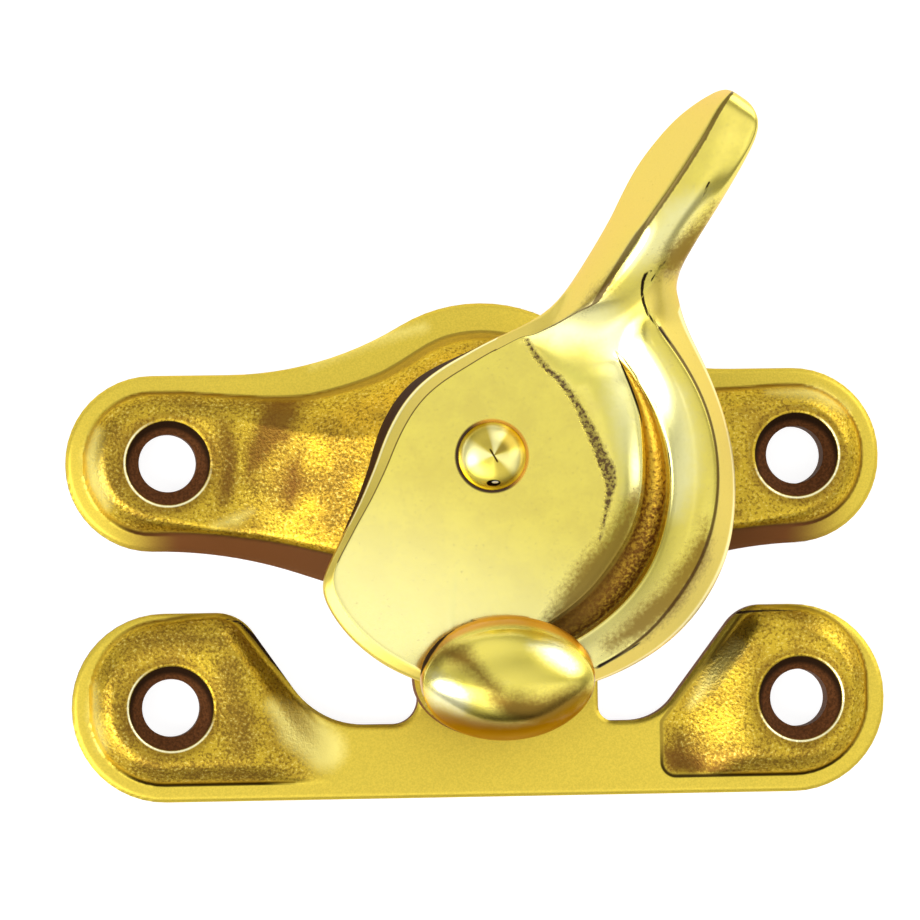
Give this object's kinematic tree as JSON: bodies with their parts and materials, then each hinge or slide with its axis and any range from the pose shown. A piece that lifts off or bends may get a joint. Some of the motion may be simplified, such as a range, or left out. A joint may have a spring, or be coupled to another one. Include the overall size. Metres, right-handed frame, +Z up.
{
  "type": "sash fastener",
  "caption": "Cast brass sash fastener: a base with a turning spiral cam and thumb lever, and a separate keep whose overhanging hook the cam draws in.",
  "frame": {"origin": "the cam's pivot axis where it meets the mounting plane of the base, midway between the base's screw holes", "axes": "+X along the line of the base's screw holes, towards the ear that the lever is nearer to at rest; +Y away from the keep; +Z up from the window rail, along the pivot"},
  "size_m": [0.0652, 0.055, 0.0203],
  "materials": {
    "base_casting": "sand-cast face, lightly buffed, with linished edges",
    "cam_casting": "polished, lacquered",
    "rivet_brass": "polished",
    "washer_brass": "plain rolled",
    "keep_casting": "polished hook, sand-cast pads, linished plate"
  },
  "bodies": {
    "mounting": {"base": "base_casting", "pivot_rivet": "rivet_brass", "spring_washer": "washer_brass", "tail_washer": "washer_brass", "keep": "keep_casting"},
    "cam": {"cam_lever": "cam_casting"}
  },
  "joints": [
    {"name": "cam_turn", "type": "hinge", "parent": "mounting", "child": "cam", "pos_m": [0, 0, 0], "axis": [0, 0, 1], "range_deg": [-70, 115]}
  ]
}
